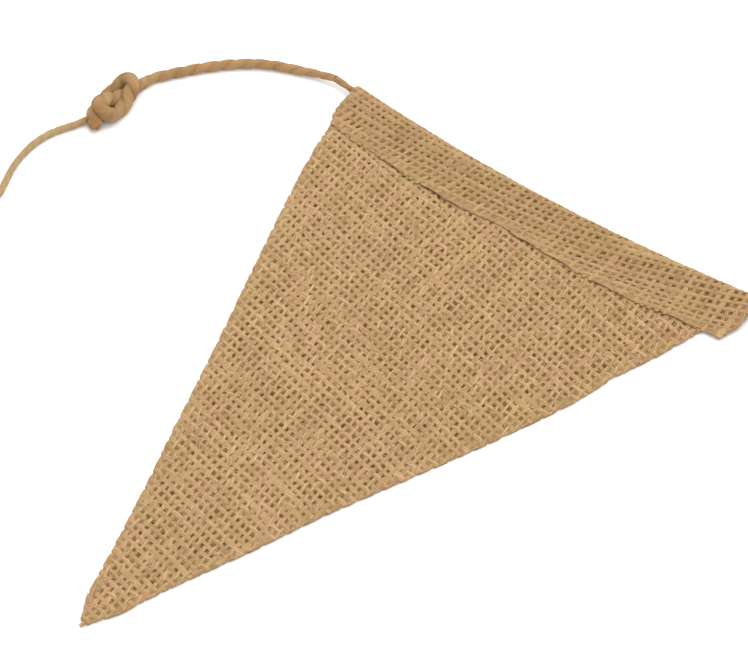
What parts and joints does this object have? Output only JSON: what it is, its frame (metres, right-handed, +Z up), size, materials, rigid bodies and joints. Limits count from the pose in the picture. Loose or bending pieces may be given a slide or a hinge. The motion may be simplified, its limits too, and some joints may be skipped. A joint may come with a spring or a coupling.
{
  "type": "burlap bunting pennant with its string",
  "caption": "Triangular jute burlap pennant lying flat, its top edge folded over a jute string that runs out through a knot to a small coil.",
  "frame": {"origin": "on the underside, at the middle of the box of the pennant and the string it holds", "axes": "+Z up out of the lying cloth; +Y from the pennant's point to its folded top edge; +X to the right seen from above with the fold at the top"},
  "size_m": [0.2181, 0.1923, 0.0069],
  "materials": {
    "jute_cloth": "coarse plain weave, matt",
    "jute_twine": "twisted, matt, slightly hairy",
    "thin_twine": "twisted, matt, slightly hairy"
  },
  "bodies": {
    "root": {"pennant": "jute_cloth", "string_in_casing": "jute_twine", "string_free": "jute_twine", "knot": "jute_twine", "string_thin": "thin_twine", "coil": "thin_twine"}
  },
  "joints": []
}
